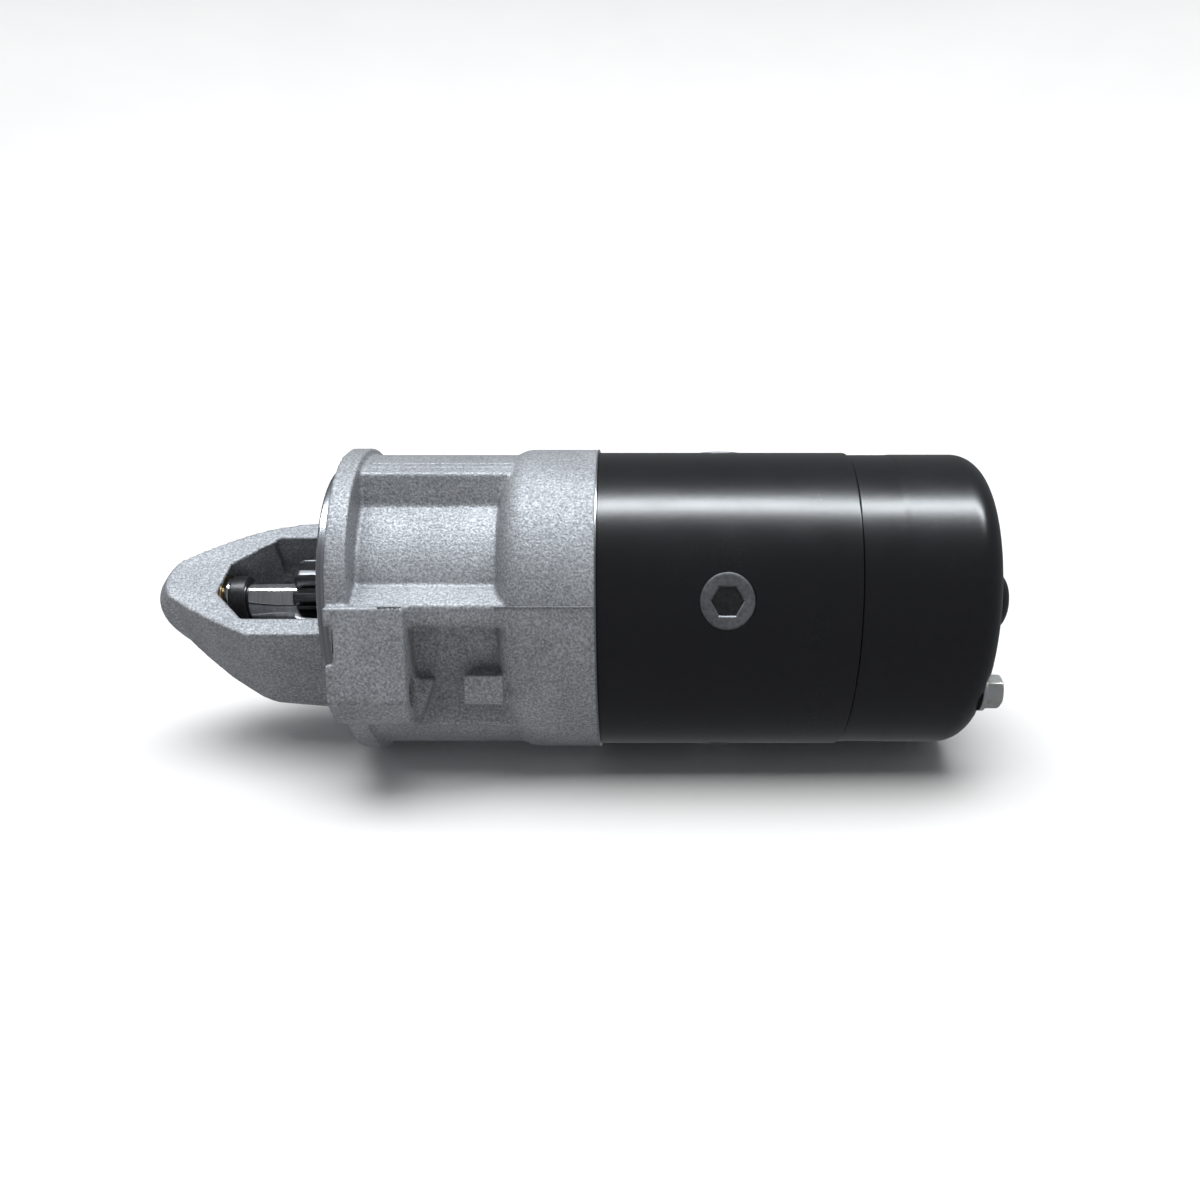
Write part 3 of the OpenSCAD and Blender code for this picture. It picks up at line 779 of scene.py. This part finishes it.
def ribbed(r, deep):
    """Radius of a cap with 24 grooves round it, at an angle."""

    def radius(a):
        return r - deep * max(0.0, math.cos(a * 24)) ** 4

    return radius


def solenoid_can():
    can = soften(
        [(46, 12.6), (46, 25.6), (46, 27), (50.5, 27), (51, 26.4), (52, 26.4), (52.5, 27), (107, 27),
         (107.6, 26.5), (110.6, 26.5), (111.4, 27), (112, 26.9), (112.3, 26.2), (112, 25), (50, 25),
         (50, 12.6)], 0.35, 3
    )
    piece = build(
        "solenoid_can", spun(can + [can[0]], 192, SOL_Y),
        "frame", ["solenoid_body"], "black_paint", 40,
    )
    cut(piece, [spun([(40, 2.5), (52, 2.5)], 32, SOL_Y, s * SOL_SCREW_Z) for s in (-1, 1)])


def solenoid_cap():
    cap = [
        (108, 20.5), (108, 24.7), (108.3, 25), (112.6, 25), (112.6, 25.9), (113.2, 26.4), (116, 26.5),
        (116.6, ribbed(26.5, 0.6)), (130.5, ribbed(26.3, 0.6)), (132.4, 26.0), (133.5, 25.2),
        (134, 24), (134, 12), (134, 0.05), (128, 0.05), (128, 20), (127.6, 20.5),
    ]
    build(
        "solenoid_end_cap", spun(cap + [cap[0]], 288, SOL_Y),
        "frame", ["solenoid_cap"], "black_plastic", 30,
    )


def terminals():
    head, flats = hex_radius(12), 13
    hexed = hex_radius(flats)
    corner = flats / 2 / math.cos(math.pi / 6)
    studs, nuts = [], []
    for y in STUDS_Y:
        stud = [(122.05, 0.05), (122.05, 6.0), (122.05, head), (128, head), (128, 4.0), (135, 4.0)]
        stud += thread_rows(136, 153, 4.0, 1.25, 0.55) + [(153.6, 3.2), (154, 2.9), (154, 0.05)]
        studs.append(spun(stud, 96, y))
        # The stud nearer the motor also holds the lead, under its nut
        x0 = 136 if y < SOL_Y else 134
        nuts.append(spun(ring_rows(x0, x0 + 1.4, 4.02, 7.5, 0.3), 96, y))
        nut = [
            (x0 + 1.4, 4.02), (x0 + 1.4, 6.4), (x0 + 1.9, hexed), (x0 + 7.2, hexed),
            (x0 + 7.6, lambda a: min(hexed(a), corner * 0.95)),
            (x0 + 7.9, 6.3), (x0 + 7.9, 4.5), (x0 + 7.5, 4.02), (x0 + 1.4, 4.02),
        ]
        nuts.append(spun(nut, 96, y))
    build("terminal_stud_set", joined(studs), "frame", ["terminal_studs"], "copper", 30)
    build("terminal_nut_set", joined(nuts), "frame", ["terminal_nuts"], "zinc_plate", 28)


def solenoid_screws():
    heads = []
    for s in (-1, 1):
        rows = [(51, 2.2), (50.5, 2.5), (36, 2.5), (36, 4.2), (35.7, 4.4), (32.3, 4.4), (31.7, 4.1),
                (31.5, 3.7), (31.5, hex_radius(4.4)), (34.2, hex_radius(4.2)), (34.6, 0.05)]
        heads.append(spun([(51, 0.05)] + rows, 72, SOL_Y, s * SOL_SCREW_Z))
    build("solenoid_screw_set", joined(heads), "frame", ["solenoid_screws"], "zinc_plate", 30)


def contact_pin():
    pin = [(69.7, 0.05), (69.7, 2.5), (70.2, 3.0), (115, 3.0), (115, 4.3), (115.2, 4.5), (117, 4.5),
           (117, 3.0), (121.5, 3.0), (122, 2.5), (122, 0.05)]
    build("contact_pin", spun(pin, 64, SOL_Y), "contact", ["contact_rod"], "bright_steel", 30)


def grommet():
    rows = soften(
        [(46.2, 6.0), (46.2, 7.4), (46.8, 7.9), (50.9, 7.9), (51.1, 10.0), (52.6, 10.0), (53.4, 8.6),
         (53.4, 5.6), (52.8, 5.4), (46.2, 5.4)], 0.5, 3
    )
    # A soft collar with an oblong slot for the flat lead

    def slotted(x, r):
        if r > 7:
            return (x, r)
        return (x, lambda a: 1 / max(abs(math.cos(a)) / 5.1, abs(math.sin(a)) / 1.1))

    part = spun([slotted(x, r) for x, r in rows] + [slotted(*rows[0])], 96)
    build("lead_collar", moved(part, outward(LEAD_X)), "frame", ["lead_grommet"], "rubber", 40)


# ---- Pieces that keep their CAD shape ----


def dressed():
    """Gives every CAD node that still shows its material and softened edges."""
    slots = {entry["node"]: entry["material_slot"] for entry in frame["record"]["subparts"]}
    thin = ("armature_windings", "field_coils", "commutator")
    for node, piece in frame["nodes"].items():
        piece.data.materials.clear()
        piece.data.materials.append(MATERIALS[slots[node]])
        if piece.hide_render:
            continue
        flat = piece.modifiers.new("flat", "DECIMATE")
        flat.decimate_type = "DISSOLVE"
        flat.angle_limit = math.radians(1)
        edge = piece.modifiers.new("edge", "BEVEL")
        edge.width = (0.15 if node in thin else 0.3) * MM
        edge.segments = 2
        edge.limit_method = "ANGLE"
        edge.angle_limit = math.radians(35)
        edge.harden_normals = True


# ---- Camera, light and stage ----


def camera():
    # The camera stands square to the motor axis at foot_x, and looks a little below it
    foot_x, distance, pitch = 98.5, 387.0, math.radians(10)
    focal = 0.895 * math.cos(pitch)
    data = bpy.data.cameras.new("camera")
    data.sensor_width = 36
    data.lens = 36 * focal
    # The picture is the upper middle part of what the camera sees
    data.shift_x = -0.0333
    data.shift_y = focal * math.tan(pitch) + 0.001
    data.clip_start = 0.01
    lens = bpy.data.objects.new("camera", data)
    bpy.context.scene.collection.objects.link(lens)
    stand = Matrix.Translation(Vector((foot_x, -distance, 0)) * MM)
    lens.matrix_world = LAY @ stand @ Matrix.Rotation(math.pi / 2 - pitch, 4, "X")
    bpy.context.scene.camera = lens


def lamp(name, place, aim, radiance, size, color, seen_by="both"):
    """A soft panel whose long side lies along X; seen_by says which surfaces it lights."""
    data = bpy.data.lights.new(name, "AREA")
    data.energy = radiance * math.pi * size[0] * size[1]
    data.color = color
    data.shape = "RECTANGLE"
    data.size, data.size_y = size
    light = bpy.data.objects.new(name, data)
    back = (Vector(place) - Vector(aim)).normalized()
    side = (Vector((1, 0, 0)) - back * back.x).normalized()
    axes = Matrix((side, back.cross(side), back)).transposed().to_4x4()
    light.matrix_world = Matrix.Translation(place) @ axes
    light.visible_diffuse = seen_by != "gloss"
    light.visible_glossy = seen_by != "matt"
    bpy.context.scene.collection.objects.link(light)


def stage():
    """A pale floor that rises gently into a backdrop all round."""
    ground = cad_box[0][2]
    flat_r, rise_r, rise_h = 0.7, 1.9, 0.95
    rows = [(0.0005, 0.0)] + [(flat_r + rise_r * t / 24, rise_h * (t / 24) ** 1.7) for t in range(25)]
    verts, faces = [], []
    count = 96
    for r, z in rows:
        for k in range(count):
            a = 2 * math.pi * k / count
            verts.append((0.08 + r * math.cos(a), r * math.sin(a), ground + z))
    for i in range(len(rows) - 1):
        for k in range(count):
            m = (k + 1) % count
            faces.append((i * count + k, i * count + m, (i + 1) * count + m, (i + 1) * count + k))
    mesh = bpy.data.meshes.new("floor")
    mesh.from_pydata(verts, [], faces)
    mesh.shade_smooth()
    floor = bpy.data.objects.new("floor", mesh)
    look = Look("floor")
    pale = look.ramp(look.noise(6, 2.0), (0.3, (0.84, 0.84, 0.84)), (0.7, (0.86, 0.86, 0.86)))
    look.set(Base_Color=pale, Roughness=0.9)
    mesh.materials.append(look.material)
    bpy.context.scene.collection.objects.link(floor)
    floor.visible_glossy = False


def lights():
    world = bpy.data.worlds.new("world")
    world.use_nodes = True
    sky = world.node_tree.nodes["Background"]
    sky.inputs["Color"].default_value = (0.93, 0.96, 1.0, 1)
    sky.inputs["Strength"].default_value = 0.2
    bpy.context.scene.world = world
    # Shiny surfaces mirror the narrow panel and the sky, and the wide panels light the rest
    lamp("strip", (0.15, 0.04, 0.8), (0.15, 0.03, 0), 30, (1.3, 0.14), (0.9, 0.96, 1.0), "gloss")
    lamp("overhead", (0.1, -0.05, 1.15), (0.1, 0, 0), 4.7, (1.3, 1.0), (1.0, 1.0, 1.0), "matt")
    lamp("backdrop", (0.1, 0.8, 1.5), (0.1, 2.2, 0.3), 4.4, (2.4, 0.8), (1.0, 1.0, 1.0), "matt")
    bpy.context.scene.view_settings.view_transform = "Standard"


drive_housing()
yoke()
end_cap()
pole_screws()
through_bolts()
pinion()
shaft()
rings()
springs()
solenoid_can()
solenoid_cap()
terminals()
solenoid_screws()
contact_pin()
grommet()
dressed()
camera()
stage()
lights()
